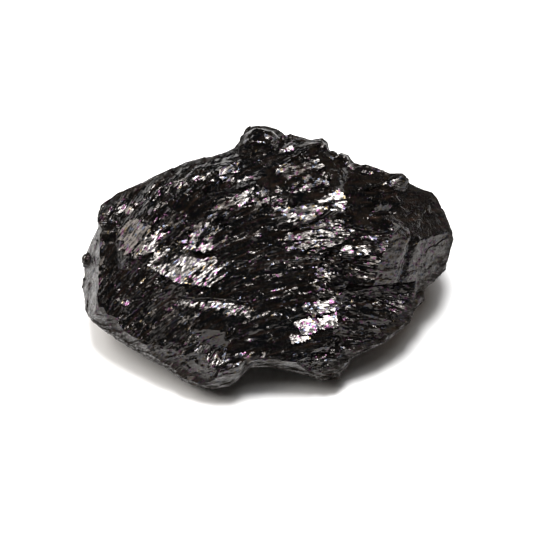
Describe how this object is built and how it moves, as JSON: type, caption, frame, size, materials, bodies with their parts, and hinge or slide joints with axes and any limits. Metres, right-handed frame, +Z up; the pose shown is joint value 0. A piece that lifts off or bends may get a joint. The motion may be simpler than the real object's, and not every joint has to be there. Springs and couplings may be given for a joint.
{
  "type": "shungite nugget",
  "caption": "Irregular faceted lump of glossy black mineral with ledges, shell-shaped scars and chips, standing on three small flats.",
  "frame": {"origin": "middle of the box's bottom face, on the ground that the nugget stands on", "axes": "+X along the longest extent, towards the end with the smooth block; +Y towards the back; +Z up"},
  "size_m": [0.0452, 0.029, 0.0242],
  "materials": {
    "shungite": "gloss"
  },
  "bodies": {
    "root": {"shungite_nugget": "shungite"}
  },
  "joints": []
}
